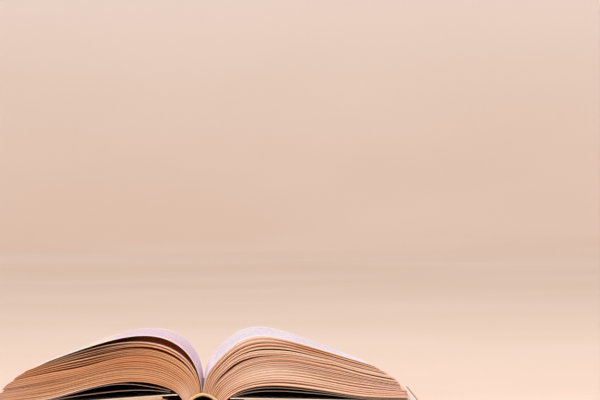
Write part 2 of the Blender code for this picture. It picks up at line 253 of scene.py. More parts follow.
def headings(line):
    """The unit direction of a line at each of its points."""
    heading = np.gradient(line, axis=0)
    return heading / np.linalg.norm(heading, axis=1)[:, None]


def lengths(line):
    """How far each point of a line is from its start, along the line."""
    runs = np.linalg.norm(np.diff(line, axis=0), axis=1)
    return np.concatenate([[0], np.cumsum(runs)])


def points_at(places, along, line):
    """X and Z of a line at some places along it."""
    return [np.interp(places, along, line[:, i]) for i in (0, 1)]


def swelling(along, widest, sharpness):
    """From 0 at the fold to 1 where a gap is widest, and back towards 0."""
    ratio = along / widest
    return (ratio * np.exp(1 - ratio)) ** sharpness


def hill(value, middle, reach):
    """From 0 up to 1 at the middle and down again."""
    return np.exp(-((value - middle) / reach) ** 2)


class Half:
    """One side of the open block: every leaf lies between its top path and its bottom path."""

    def __init__(self, top, bottom, leaf, swell, slant, droop):
        self.top = path(*top)
        self.bottom = path(*bottom)
        self.leaf = leaf
        self.swell = swell
        self.slant = slant
        self.droop = droop
        across = self.bottom - self.top
        heading = headings(self.top + self.bottom)
        self.thickness = np.abs(heading[:, 0] * across[:, 1] - heading[:, 1] * across[:, 0])
        out = np.array([-across[0, 1], across[0, 0]]) / np.linalg.norm(across[0])
        self.out = out if out[1] > 0 else -out
        self.weight = np.cumsum(1 + BEND_WEIGHT * (self.bend(self.top) + self.bend(self.bottom)))

    def bend(self, line):
        """How sharply a line turns at each step, in radians a metre."""
        heading = np.unwrap(np.arctan2(*np.gradient(line, axis=0).T[::-1]))
        return np.abs(np.gradient(heading, STEP))

    def stations(self, end, count):
        """Places from the fold to an end, closer together where the leaves bend."""
        last = np.interp(end, ALONG, self.weight)
        return np.interp(np.linspace(self.weight[0], last, count + 1), self.weight, ALONG)

    def leaf_line(self, depth, slip=0.0, count=SEGMENTS, start=0.0):
        """The leaf at a depth under the top one: X, Z, droop at the head and distance from the fold."""
        share = depth / self.thickness
        bulge = 4 * share * (1 - share)
        rounding = SPINE_ROUND * bulge * np.exp(-ALONG / SPINE_FADE)
        points = self.top + share[:, None] * (self.bottom - self.top) + rounding[:, None] * self.out
        short = slip + self.slant * share - self.swell * bulge
        end = np.interp(0, lengths(points) - self.leaf + short, ALONG)
        places = np.maximum(self.stations(end, count), start)
        drop, growth = self.droop
        share_there = np.interp(places, ALONG, np.maximum(share, 0))
        droop = drop * (places / end) ** growth * (1 - share_there ** DROOP_FADE)
        return np.column_stack([*points_at(places, ALONG, points), droop, places])

    def fold_line(self, shares):
        """Points of the folds from the gutter to the foot, as X and Z."""
        shares = np.asarray(shares)[:, None]
        straight = self.top[0] + shares * (self.bottom[0] - self.top[0])
        return straight + SPINE_ROUND * 4 * shares * (1 - shares) * self.out


LEFT = Half(LEFT_TOP, LEFT_BOTTOM, LEFT_LEAF, 0, 0, LEFT_HEAD_DROOP)
RIGHT = Half(RIGHT_TOP, RIGHT_BOTTOM, RIGHT_LEAF, RIGHT_SWELL, RIGHT_SLANT, RIGHT_HEAD_DROOP)
LIFT, LIFT_WIDEST, LIFT_SHARPNESS = LOOSE_LEAF_LIFT
LEFT_AIR = SHEET + 2 * GAP + LIFT * swelling(ALONG, LIFT_WIDEST, LIFT_SHARPNESS)
RIGHT_AIR = np.zeros(len(ALONG))


# Shader nodes

MATT_SPECULAR = 0.25             # matt surfaces throughout
CLOUDS = (0.3, 0.7)              # most values of a noise lie between these
FIBRES = 2600.0                  # a metre
# Streaks on the trimmed edges: noise cells a metre along the leaves, and through the depth of a half
STREAKS_ALONG = 22.0
STREAKS_DEEP = 34.0
FINE_STREAKS_ALONG = 25.0
FINE_STREAKS_BY_TONE = 40.0
BROAD_SHARE = 0.75               # of the streaks, the rest being fine ones
PATCHES_DEEP = 5.0
# Scales of the unevenness along a thread and across it
SLUB_ALONG = 60.0
SLUB_ACROSS = 1400.0
SLUB_UP = 400.0


def linear(colour):
    """A screen colour, from 0 to 255, as the linear values that a shader takes."""
    parts = [c / 255 for c in colour]
    return (*[((c + 0.055) / 1.055) ** 2.4 if c > 0.04045 else c / 12.92 for c in parts], 1)


def join(value, socket):
    """Join a node's output to a socket, or set the socket to a number, a vector or a screen colour."""
    if isinstance(value, Value):
        value.tree.links.new(value.socket, socket)
    else:
        socket.default_value = linear(value) if socket.type == "RGBA" else value


def add(tree, kind, inputs=(), **settings):
    """A shader node with its settings and its inputs."""
    made = tree.nodes.new("ShaderNode" + kind)
    for key, value in settings.items():
        setattr(made, key, value)
    pairs = inputs.items() if isinstance(inputs, dict) else enumerate(inputs)
    for key, value in pairs:
        join(value, made.inputs[key])
    return made


def maths(tree, operation, *values):
    """The result of a maths node."""
    return Value(add(tree, "Math", values, operation=operation).outputs[0])


def operator(operation, turned=False):
    """A method of Value that adds a maths node, with its values turned round if asked."""
    def reckon(first, *others):
        return maths(first.tree, operation, *((*others, first) if turned else (first, *others)))
    return reckon


class Value:
    """The output of a shader node. Reckoning with it adds maths nodes to its tree."""

    def __init__(self, socket):
        self.socket = socket
        self.tree = socket.id_data

    __add__ = operator("ADD")
    __sub__ = operator("SUBTRACT")
    __rsub__ = operator("SUBTRACT", turned=True)
    __mul__ = operator("MULTIPLY")
    __truediv__ = operator("DIVIDE")
    __rtruediv__ = operator("DIVIDE", turned=True)
    __gt__ = operator("GREATER_THAN")
    __lt__ = operator("LESS_THAN")
    __abs__ = operator("ABSOLUTE")
    smaller = operator("MINIMUM")
    sine = operator("SINE")
    whole = operator("FLOOR")
    fraction = operator("FRACT")


def ramp(value, low, high, start=0.0, end=1.0):
    """A value carried smoothly from the range low to high over to the range start to end."""
    inputs = {"Value": value, "From Min": low, "From Max": high, "To Min": start, "To Max": end}
    return Value(add(value.tree, "MapRange", inputs, interpolation_type="SMOOTHSTEP").outputs["Result"])


def mix(share, first, second):
    """Two colours mixed by a share, each a screen colour or the output of a node."""
    made = add(share.tree, "Mix", {"Factor": share}, data_type="RGBA")
    for key, value in (("A", first), ("B", second)):
        join(value, [s for s in made.inputs if s.name == key and s.type == "RGBA"][0])
    return Value([s for s in made.outputs if s.type == "RGBA"][0])


def noise(vector, scale, detail, roughness):
    """Cloudy values from 0 to 1."""
    inputs = {"Vector": vector, "Scale": scale, "Detail": detail, "Roughness": roughness}
    return Value(add(vector.tree, "TexNoise", inputs).outputs["Fac"])


def attribute(tree, name):
    """A value that the mesh holds at its points."""
    return Value(add(tree, "Attribute", attribute_name=name).outputs["Fac"])


def place(tree):
    """The place on the piece, in metres."""
    return Value(add(tree, "TexCoord").outputs["Object"])


def stretched(vector, scale):
    """A vector with each part multiplied by its own scale."""
    return Value(add(vector.tree, "Mapping", {"Vector": vector, "Scale": scale}).outputs["Vector"])


def by_name(outputs):
    """A node's outputs by their names."""
    return {socket.name: Value(socket) for socket in outputs}


def split(vector):
    """The X, Y and Z of a vector."""
    return by_name(add(vector.tree, "SeparateXYZ", [vector]).outputs)


def joined(x, y, z):
    """A vector from its X, Y and Z."""
    return Value(add(x.tree, "CombineXYZ", [x, y, z]).outputs[0])


def cells_along(at, randomness):
    """How far it is to the nearer border of uneven cells that lie along one line."""
    return Value(add(at.tree, "TexVoronoi", {"W": at, "Scale": 1.0, "Randomness": randomness},
                     voronoi_dimensions="1D", feature="DISTANCE_TO_EDGE").outputs["Distance"])


def new_group(name, inputs, outputs):
    """A node group with its inputs, each a number by default or else a vector, and its value outputs."""
    tree = bpy.data.node_groups.new(name, "ShaderNodeTree")
    for socket, default in inputs.items():
        kind = "NodeSocketVector" if default is None else "NodeSocketFloat"
        made = tree.interface.new_socket(name=socket, in_out="INPUT", socket_type=kind)
        if default is not None:
            made.default_value = default
    for socket in outputs:
        tree.interface.new_socket(name=socket, in_out="OUTPUT", socket_type="NodeSocketFloat")
    start = tree.nodes.new("NodeGroupInput")
    end = tree.nodes.new("NodeGroupOutput")
    return tree, by_name(start.outputs), end.inputs


def use(tree, group, inputs):
    """A placed node group's outputs."""
    return by_name(add(tree, "Group", inputs, node_tree=group).outputs)


def new_material(name, roughness):
    """A material with its node tree and its shader."""
    material = bpy.data.materials.new(name)
    material.use_nodes = True
    tree = material.node_tree
    shader = tree.nodes["Principled BSDF"]
    join(roughness, shader.inputs["Roughness"])
    join(MATT_SPECULAR, shader.inputs["Specular IOR Level"])
    return material, tree, shader


def bump(shader, height, distance):
    """Raise the surface by a height, whose full range is a distance in metres."""
    made = add(height.tree, "Bump", {"Height": height, "Distance": distance, "Strength": 1.0})
    join(Value(made.outputs["Normal"]), shader.inputs["Normal"])


def paper_fibre_group():
    """Cloudy tone and fine fibre of uncoated paper."""
    inputs = {"Vector": None, "Cloud Size": 0.02}
    group, take, give = new_group("paper_fibre", inputs, ["Cloud", "Fibre"])
    join(noise(take["Vector"], 1.0 / take["Cloud Size"], 3.0, 0.6), give["Cloud"])
    join(noise(take["Vector"], FIBRES, 3.0, 0.7), give["Fibre"])
    return group


def leaf_streak_group():
    """Streaks that run along the leaves of a trimmed edge, finer ones leaf by leaf, and wide patches."""
    inputs = {"Along": 0.0, "Depth": 0.0, "Tone": 0.5}
    group, take, give = new_group("leaf_streaks", inputs, ["Streak", "Patch"])
    along = take["Along"] * STREAKS_ALONG
    depth = take["Depth"] * STREAKS_DEEP
    broad = noise(joined(along, depth, 0.0), 1.0, 2.0, 0.6)
    fine_at = joined(take["Along"] * FINE_STREAKS_ALONG, depth, take["Tone"] * FINE_STREAKS_BY_TONE)
    fine = noise(fine_at, 1.0, 2.0, 0.5)
    join(broad * BROAD_SHARE + fine * (1 - BROAD_SHARE), give["Streak"])
    join(noise(joined(along, take["Depth"] * PATCHES_DEEP, 3.0), 0.5, 2.0, 0.5), give["Patch"])
    return group


def book_cloth_group():
    """Plain woven threads, uneven as linen is."""
    inputs = {"Vector": None, "Thread": 0.0006}
    group, take, give = new_group("book_cloth", inputs, ["Weave", "Slub"])
    parts = split(take["Vector"])
    turns = pi / take["Thread"]
    join(abs((parts["X"] * turns).sine()) * abs((parts["Y"] * turns).sine()), give["Weave"])
    along_warp = noise(stretched(take["Vector"], (SLUB_ACROSS, SLUB_ALONG, SLUB_UP)), 1.0, 2.0, 0.5)
    along_weft = noise(stretched(take["Vector"], (SLUB_ALONG, SLUB_ACROSS, SLUB_UP)), 1.0, 2.0, 0.5)
    join((along_warp + along_weft) * 0.5, give["Slub"])
    return group


def print_group():
    """Rows of grey marks as long as words, inside the margins of a page. The vector is in metres."""
    row_pitch = 0.0056
    word_length = 0.0105
    word_gap = 0.07              # of a word's length
    stroke_width = 0.0011
    word_shuffle, stroke_shuffle = 97.0, 53.0    # so that no two rows are alike
    early_chance = 0.16          # that a row is the last of its paragraph
    early_end = 0.5              # metres that such a row ends early, times its own chance
    inputs = {"Vector": None, "Left Margin": 0.02, "Right Margin": 0.02, "Page Width": 0.156, "Seed": 0.0}
    group, take, give = new_group("print_rows", inputs, ["Ink"])
    parts = split(take["Vector"])
    across, up = parts["X"], parts["Y"]
    rows = up / row_pitch
    in_row = rows.fraction()
    band = ramp(in_row, 0.30, 0.36) * ramp(in_row, 0.66, 0.60)
    row_noise = add(group, "TexWhiteNoise", {"W": rows.whole() + take["Seed"]}, noise_dimensions="1D")
    chance = Value(row_noise.outputs["Value"])
    # Words are the cells of a one-dimensional Voronoi texture, and their gaps its cell borders
    word = cells_along(across / word_length + chance * word_shuffle, 0.8) > word_gap
    stroke = ramp(cells_along(across / stroke_width + chance * stroke_shuffle, 0.9), 0.10, 0.2, 0.35, 1.0)
    # Every few rows a paragraph ends early, and the foot and head stay white
    shorter = (chance < early_chance) * (chance * early_end)
    right_end = take["Page Width"] - take["Right Margin"] - shorter
    inside = (across > take["Left Margin"]) * (across < right_end)
    inside = inside * (up > FOOT_MARGIN) * (up < PAGE_HEIGHT - TOP_MARGIN)
    join(band * word * stroke * inside, give["Ink"])
    return group


PAPER_FIBRE = paper_fibre_group()
LEAF_STREAKS = leaf_streak_group()
BOOK_CLOTH = book_cloth_group()
PRINT_ROWS = print_group()


# Materials

# Tints of patches on the trimmed edges: (that of the darker leaves, that of the lighter ones, most of it)
TINTS = {
    "warm": ((148, 78, 36), (228, 154, 96), 0.8),
    "grey": ((76, 52, 38), (236, 204, 172), 0.9),
    "pale": ((226, 190, 164), (255, 238, 220), 0.8),
    "rosy": ((200, 142, 122), (248, 208, 196), 0.8),
}
ROSY_TONE = (226, 146, 118)
# How light a leaf's edge is: its tone's share in that, and the levels where colours go over to the next
TONE_SHARE = 0.6                 # the rest being streaks
SHADOW_TO_BODY = (0.27, 0.49)
BODY_TO_LIGHT = (0.49, 0.70)
DARK_TO_PALE = (0.28, 0.70)      # in the toned patches
# Paper
# Orange towards the fold: painted light, the warm light of the gaps painted into the faces inside the block,
# paler further out
INNER_PAINTED_LIGHT_TONES = ((236, 164, 114), (246, 184, 136))
INNER_OUTER_TONE = (238, 206, 182)
INNER_TURNS = (0.125, 0.148)     # from the fold, where the one goes over to the other
# Page paper, with a lavender cast of the light painted into it
LEFT_PAPER = ((227, 198, 213), (235, 208, 221))
RIGHT_PAPER = ((232, 217, 228), (240, 227, 236))
UNDER_PAPER = ((228, 206, 206), (238, 218, 216))
MARGIN_HIGHLIGHT = (243, 230, 234)
MARGIN_HIGHLIGHT_FADES = (0.030, 0.012)    # from the page's edges
EDGE_TONE = (244, 214, 184)
EDGE_TONE_FADES = (0.0085, 0.006)
LEFT_OUTER = (255, 236, 208)     # the left pages yellow towards their outer edge
YELLOWS_AT = (0.082, 0.106)      # from the fold
INK = (84, 72, 84)
INK_STRENGTH = 0.55
# Light that goes a little way into a page, most of it red
SCATTER = {"Subsurface Weight": 0.2, "Subsurface Radius": (1.0, 0.36, 0.16), "Subsurface Scale": 0.0020}
# Painted light: a glow that the faces in the gaps give out, standing in for light that comes through the
# leaves
GLOW = (200, 90, 40)
DARK = (0, 0, 0)
GLOW_UNDER_LOOSE_LEAF = 0.06
GLOW_BETWEEN_LEAVES = 0.015
GLOW_FADES = (0.058, 0.082)      # from the fold, under the loose leaf


def set_look(shader, colour, roughness=None):
    """Join a material's colour, and its roughness where that changes over the surface."""
    join(colour, shader.inputs["Base Color"])
    if roughness is not None:
        join(roughness, shader.inputs["Roughness"])


def set_glow(shader, strength):
    """Painted light: a glow that a surface gives out evenly, though it is no lamp."""
    join(GLOW, shader.inputs["Emission Color"])
    join(strength, shader.inputs["Emission Strength"])


def cloudy_paper(tree, cloud_size, dark, light):
    """The fibre pattern of a paper, and its cloudy colour."""
    fibre = use(tree, PAPER_FIBRE, {"Vector": place(tree), "Cloud Size": cloud_size})
    return fibre, mix(ramp(fibre["Cloud"], *CLOUDS), dark, light)


def trimmed_edge_material(name, shadow, body, light):
    """The trimmed edges of many leaves, streaked along the leaves and toned in patches, each leaf painted
    from shadow to light by its level: partly painted shade and light, partly the paper's own streaks.
    """
    material, tree, shader = new_material(name, 0.85)
    tone = attribute(tree, "tone")
    lie = {"Along": attribute(tree, "along"), "Depth": attribute(tree, "share"), "Tone": tone}
    streaks = use(tree, LEAF_STREAKS, lie)
    level = tone * TONE_SHARE + streaks["Streak"] * (1 - TONE_SHARE)
    colour = mix(ramp(level, *SHADOW_TO_BODY), shadow, body)
    colour = mix(ramp(level, *BODY_TO_LIGHT), colour, light)
    for patch, (dark, pale, most) in TINTS.items():
        much = attribute(tree, patch) * ramp(streaks["Streak"], 0.2, 0.7, 0.7 * most, most)
        colour = mix(much, colour, mix(ramp(level, *DARK_TO_PALE), dark, pale))
    colour = mix(ramp(streaks["Patch"], 0.5, 0.75, 0.0, 0.2), colour, ROSY_TONE)
    fibre = use(tree, PAPER_FIBRE, {"Vector": place(tree), "Cloud Size": 0.01})
    set_look(shader, colour, ramp(fibre["Cloud"], *CLOUDS, 0.78, 0.92))
    bump(shader, fibre["Fibre"], 0.00008)
    return material


def inner_paper_material():
    """The faces of leaves inside the block, which show only in the gaps, painted orange towards the fold and
    given a faint glow, as painted light.
    """
    material, tree, shader = new_material("inner_paper", 0.9)
    fibre, colour = cloudy_paper(tree, 0.02, *INNER_PAINTED_LIGHT_TONES)
    outer = ramp(attribute(tree, "along"), *INNER_TURNS)
    set_look(shader, mix(outer, colour, INNER_OUTER_TONE))
    set_glow(shader, GLOW_BETWEEN_LEAVES)
    bump(shader, fibre["Fibre"], 0.00006)
    return material


def page_material(name, paper, page_width, left_hand, seed):
    """A page: thin uncoated paper that lets some light through, margins painted paler as a painted
    highlight, and rows of print.

    The page map runs outwards from the fold, and the rows from left to right as they are read.
    """
    material, tree, shader = new_material(name, 0.8)
    page = Value(add(tree, "UVMap", uv_map="page").outputs["UV"])
    fibre, colour = cloudy_paper(tree, 0.035, *paper)
    parts = split(page)
    from_fore_edge = page_width - parts["X"]
    from_edge = from_fore_edge.smaller(parts["Y"].smaller(PAGE_HEIGHT - parts["Y"]))
    ragged = from_edge + fibre["Cloud"] * 0.010
    # Painted highlight: the page paler towards its edges
    colour = mix(ramp(ragged, *MARGIN_HIGHLIGHT_FADES, 0.0, 0.5), colour, MARGIN_HIGHLIGHT)
    colour = mix(ramp(ragged, *EDGE_TONE_FADES, 0.0, 0.2), colour, EDGE_TONE)
    rows = {"Vector": page, "Left Margin": INNER_MARGIN, "Right Margin": OUTER_MARGIN,
            "Page Width": page_width, "Seed": seed}
    if left_hand:
        colour = mix(ramp(parts["X"], *YELLOWS_AT, 0.0, 0.65), colour, LEFT_OUTER)
        rows["Vector"] = joined(from_fore_edge, parts["Y"], 0.0)
        rows["Left Margin"] = OUTER_MARGIN
        rows["Right Margin"] = INNER_MARGIN
    ink = use(tree, PRINT_ROWS, rows)["Ink"]
    set_look(shader, mix(ink * INK_STRENGTH, colour, INK), ramp(fibre["Cloud"], *CLOUDS, 0.72, 0.88))
    for key, value in SCATTER.items():
        join(value, shader.inputs[key])
    bump(shader, fibre["Fibre"], 0.00005)
    return material


def page_in_gap_material():
    """The page under the loose leaf, with a painted glow that fades out along the leaf, where less light
    comes through.
    """
    material = page_material("page_under_loose_leaf", UNDER_PAPER, LEFT_LEAF, True, 73.0)
    shader = material.node_tree.nodes["Principled BSDF"]
    set_glow(shader, GLOW_UNDER_LOOSE_LEAF)
    faded = ramp(attribute(material.node_tree, "along"), *GLOW_FADES)
    join(mix(faded, GLOW, DARK), shader.inputs["Emission Color"])
    return material


def rim_material(name, dark, light):
    """The cut rim of a single sheet."""
    material, tree, shader = new_material(name, 0.85)
    set_look(shader, cloudy_paper(tree, 0.006, dark, light)[1])
    return material


def endpaper_material(name, dark, light):
    """Heavier unprinted paper of flyleaves and pastedowns, with a few faint brown spots of age."""
    age_brown = (196, 150, 104)
    spots_per_metre = 55.0
    left_clean = 0.72            # of the possible spots
    material, tree, shader = new_material(name, 0.82)
    fibre, colour = cloudy_paper(tree, 0.03, dark, light)
    cells = by_name(add(tree, "TexVoronoi", {"Vector": place(tree), "Scale": spots_per_metre}).outputs)
    rare = split(cells["Color"])["X"] > left_clean
    spot = ramp(cells["Distance"], 0.09, 0.03) * rare * 0.35
    set_look(shader, mix(spot, colour, age_brown), ramp(fibre["Cloud"], *CLOUDS, 0.74, 0.9))
    bump(shader, fibre["Fibre"], 0.00007)
    return material


def cloth_material():
    """Tan book cloth, its threads painted lighter on the crowns and darker in the hollows as painted
    highlight and shade, rubbed pale along the case's outer edges.
    """
    thread_pitch = 0.0007
    shaded_hollow_tan, lit_crown_tan, slub_tan = (150, 104, 74), (206, 160, 124), (222, 180, 146)
    rubbed_pale, soiled_brown = (232, 202, 176), (136, 94, 66)
    material, tree, shader = new_material("book_cloth", 0.75)
    where = place(tree)
    cloth = use(tree, BOOK_CLOTH, {"Vector": where, "Thread": thread_pitch})
    colour = mix(cloth["Weave"], shaded_hollow_tan, lit_crown_tan)
    colour = mix(ramp(cloth["Slub"], 0.35, 0.7, 0.0, 0.4), colour, slub_tan)
    parts = split(where)
    from_edge = (HALF_SPREAD - abs(parts["X"])).smaller(COVER_HEIGHT / 2 - abs(parts["Y"]))
    ragged = from_edge + noise(where, 160.0, 3.0, 0.6) * 0.0016
    colour = mix(ramp(ragged, 0.0019, 0.0006, 0.0, 0.7), colour, rubbed_pale)
    colour = mix(ramp(noise(where, 18.0, 3.0, 0.6), 0.5, 0.75, 0.0, 0.25), colour, soiled_brown)
    set_look(shader, colour, ramp(cloth["Weave"], 0.0, 1.0, 0.85, 0.66))
    bump(shader, cloth["Weave"], 0.00015)
    return material


def lining_material():
    """Open gauze under dried glue, on the back of the block, its weave painted lighter on the crowns and
    darker in the hollows as painted highlight and shade.
    """
    thread_pitch = 0.0014
    shaded_hollow_cream, lit_crown_cream, glue_amber = (246, 214, 150), (255, 236, 190), (226, 178, 110)
    material, tree, shader = new_material("glued_lining", 0.7)
    where = place(tree)
    cloth = use(tree, BOOK_CLOTH, {"Vector": where, "Thread": thread_pitch})
    colour = mix(cloth["Weave"], shaded_hollow_cream, lit_crown_cream)
    set_look(shader, mix(ramp(noise(where, 130.0, 3.0, 0.6), 0.45, 0.7, 0.0, 0.5), colour, glue_amber))
    bump(shader, cloth["Weave"], 0.0002)
    return material


def thread_material():
    """Silk wound over the end bands, one turn cream and the next gold, painted darker in the grooves between
    turns as painted shade.
    """
    cream, gold, groove_shade_gold = (246, 228, 188), (230, 190, 122), (190, 140, 84)
    material, tree, shader = new_material("band_thread", 0.45)
    turns = attribute(tree, "along")
    crown = abs((turns * pi).sine())
    colour = mix((turns / 2.0).fraction() > 0.5, cream, gold)
    colour = mix(ramp(crown, 0.35, 0.0, 0.0, 0.5), colour, groove_shade_gold)
    set_look(shader, colour, ramp(crown, 0.0, 1.0, 0.6, 0.4))
    return material


def floor_material():
    """Warm pale plaster, a little cloudy, and paler up the wall."""
    floor_tones, wall_tone = ((232, 210, 194), (236, 216, 202)), (250, 240, 234)
    material, tree, shader = new_material("studio_floor", 0.9)
    where = place(tree)
    colour = mix(ramp(noise(where, 1.3, 3.0, 0.5), *CLOUDS), *floor_tones)
    set_look(shader, mix(ramp(split(where)["Z"], 0.0, 1.0), colour, wall_tone))
    return material


# The left edges painted darker and more orange than the right ones: partly the paper's own tone, partly
# painted shade
LEFT_EDGE = trimmed_edge_material("left_leaf_edges", (122, 62, 28), (192, 129, 82), (242, 193, 150))
RIGHT_EDGE = trimmed_edge_material("right_leaf_edges", (150, 86, 52), (216, 168, 134), (255, 226, 200))
INNER_PAPER = inner_paper_material()
LEFT_PAGE = page_material("left_page", LEFT_PAPER, LEFT_LEAF, True, 37.0)
TURNED_PAGE = page_material("underside_of_loose_leaf", LEFT_PAPER, LEFT_LEAF, False, 91.0)
RIGHT_PAGE = page_material("right_page", RIGHT_PAPER, RIGHT_LEAF, False, 11.0)
UNDER_PAGE = page_in_gap_material()
PAGE_RIM = rim_material("page_rim", (250, 236, 218), (255, 247, 236))
FLYLEAF_RIM = rim_material("flyleaf_rim", (216, 186, 168), (230, 204, 188))
ENDPAPER = endpaper_material("endpaper", (228, 214, 208), (240, 228, 222))
# The flyleaves painted dark brown-grey: painted shade, for they lie in shade between the block and the
# boards
FLYLEAF_IN_PAINTED_SHADE = endpaper_material("flyleaf", (138, 112, 98), (154, 128, 112))
CLOTH = cloth_material()
LINING_CLOTH = lining_material()
THREAD = thread_material()


# Meshes

def new_sheet(bm, lengthwise, crosswise):
    """A closed flat sheet: the points of its lower and its upper side, each with its place in the grid."""
    lower = bmesh.ops.create_grid(bm, x_segments=lengthwise, y_segments=crosswise, size=0.5)["verts"]
    lower_faces = list({face for vert in lower for face in vert.link_faces})
    raised = bmesh.ops.extrude_face_region(bm, geom=lower_faces, use_keep_orig=True)["geom"]
    upper = [item for item in raised if isinstance(item, bmesh.types.BMVert)]
    upper_faces = [item for item in raised if isinstance(item, bmesh.types.BMFace)]
    places = {}
    for vert in lower + upper:
        places[vert] = (round((vert.co.x + 0.5) * lengthwise), round((vert.co.y + 0.5) * crosswise))
    return lower, upper, lower_faces, upper_faces, places


def new_mesh():
    """An empty mesh with the layers that the materials read."""
    bm = bmesh.new()
    for name in ("along", "share", "tone", *TINTS):
        bm.verts.layers.float.new(name)
    bm.loops.layers.uv.new("page")
    return bm


def cockle(along, endways, height, seed):
    """A soft rise of the paper away from its ends and its fold, at a place given as shares of the sheet."""
    across = sin(pi * endways) ** 0.7
    waves = COCKLE_WAVES[0] * endways + COCKLE_WAVES[1] * along + seed
    wave = 0.5 + 0.5 * sin(2 * pi * waves)
    return height * across * wave * along ** 1.5


def lay_sheet(bm, upper_line, lower_line, tail, head, crosswise=1, tone=0.5, share=0.0, rise=0.0, seed=0.0,
              patches=None):
    """A sheet between two lines of X, Z, droop at the head and distance along, from tail to head."""
    lengthwise = len(upper_line) - 1
    lower, upper, lower_faces, upper_faces, places = new_sheet(bm, lengthwise, crosswise)
    along_layer = bm.verts.layers.float["along"]
    tone_layer = bm.verts.layers.float["tone"]
    share_layer = bm.verts.layers.float["share"]
    for verts, line in ((upper, upper_line), (lower, lower_line)):
        for vert in verts:
            i, j = places[vert]
            x, z, droop, along = line[i]
            endways = j / crosswise
            lift = cockle(i / lengthwise, endways, rise, seed) if rise else 0.0
            vert.co = (x, tail + (head - tail) * endways, z - droop * endways + lift)
            vert[along_layer] = along
            vert[tone_layer] = tone
            vert[share_layer] = share
            for name, spots in (patches or {}).items():
                strength = sum(much * hill(along, at, reach) * hill(share, middle, spread)
                               for at, reach, middle, spread, much in spots)
                if name == "level":
                    vert[tone_layer] = min(1.0, max(0.0, tone + strength))
                else:
                    vert[bm.verts.layers.float[name]] = min(1.0, strength)
    for face in lower_faces + upper_faces:
        face.material_index = 1
    return upper_faces, lower_faces


def set_page_uv(bm, faces):
    """Lay the page map over some faces: metres from the fold and from the tail."""
    uv_layer = bm.loops.layers.uv["page"]
    along_layer = bm.verts.layers.float["along"]
    for face in faces:
        for loop in face.loops:
            loop[uv_layer].uv = (loop.vert[along_layer], loop.vert.co.y - TAIL)


SHARP_ANGLE = 38                 # degrees, from which an edge shows as one


def finish_piece(name, bm, materials, replaced=(), body=None):
    """Make the piece from its mesh, shade it, and let it ride on a body if one is given."""
    bmesh.ops.recalc_face_normals(bm, faces=bm.faces)
    mesh = bpy.data.meshes.new(name)
    bm.to_mesh(mesh)
    bm.free()
    for material in materials:
        mesh.materials.append(material)
    mesh.shade_smooth()
    mesh.set_sharp_from_angle(angle=radians(SHARP_ANGLE))
    piece = bpy.data.objects.new(name, mesh)
    bpy.context.scene.collection.objects.link(piece)
    if body:
        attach(piece, body)
    if replaced:
        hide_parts(*replaced)
    return piece


# The block of leaves

def leaf_depths(half, air, partings, ripples):
    """Depths of the upper and lower side of every leaf, at every step along it."""
    extra = np.zeros((LEAVES, len(ALONG)))
    for places, width, widest, sharpness in partings:
        for share in np.linspace(*places) if isinstance(places, tuple) else [places]:
            extra[round(share * LEAVES)] += width * swelling(ALONG, widest, sharpness)
    pitch = (half.thickness - air - extra.sum(axis=0)) / LEAVES
    above = np.vstack([np.zeros(len(ALONG)), np.cumsum(extra, axis=0)[:-1]])
    upper = air + np.arange(LEAVES)[:, None] * pitch + above
    lower = upper + PAPER_SHARE * pitch
    moved = []
    for depth in (upper, lower):
        share = depth / half.thickness
        shift = sum(rise * hill(ALONG, along, reach) * hill(share, middle, spread)
                    for along, reach, middle, spread, rise in ripples)
        moved.append(half.thickness * (share + shift * np.sin(pi * np.clip(share, 0, 1))))
    return moved, extra


def smooth_random(rng, count, span):
    """Random values from 0 to 1 that drift from one leaf to the next over a span of leaves."""
    raw = rng.random(count + 4 * span)
    kernel = np.hanning(2 * span + 1)
    soft = np.convolve(raw, kernel / kernel.sum(), mode="same")[2 * span:2 * span + count]
    return (soft - soft.min()) / (soft.max() - soft.min())


def leaf_tones(extra, rng):
    """How light each leaf's edge is painted: it goes up and down every few leaves in bands of painted light
    and shade, and is high below a parting, a painted highlight.
    """
    turns = np.cumsum(0.6 + 0.8 * rng.random(LEAVES)) / BAND_OF_LEAVES
    bands = 0.5 + 0.5 * np.sin(2 * pi * turns)
    drift, banded, single = TONE_SHARES
    tones = drift * smooth_random(rng, LEAVES, 9) + banded * bands + single * rng.random(LEAVES)
    parted = extra.max(axis=1) > OPEN_GAP
    for below, lighter in enumerate(LIT_BY_GAP, 1):
        tones[below:][parted[:-below]] += lighter
    return np.clip(tones, 0, 1)


def leaf_slips(rng, most):
    """How far each leaf stands back: signature by signature, and a little leaf by leaf."""
    count = LEAVES // SIGNATURE + 1
    by_signature = np.repeat(rng.random(count), SIGNATURE)[:LEAVES]
    signatures, few, single = SLIP_SHARES
    slips = signatures * by_signature + few * smooth_random(rng, LEAVES, 4) + single * rng.random(LEAVES)
    return most * slips


def stepped(slips, steps):
    """The slips with each run of leaves that stands back, or forward, as one."""
    places = np.arange(LEAVES) / LEAVES
    for first, last, by in steps:
        slips = slips + by * ((places >= first) & (places < last))
    return slips


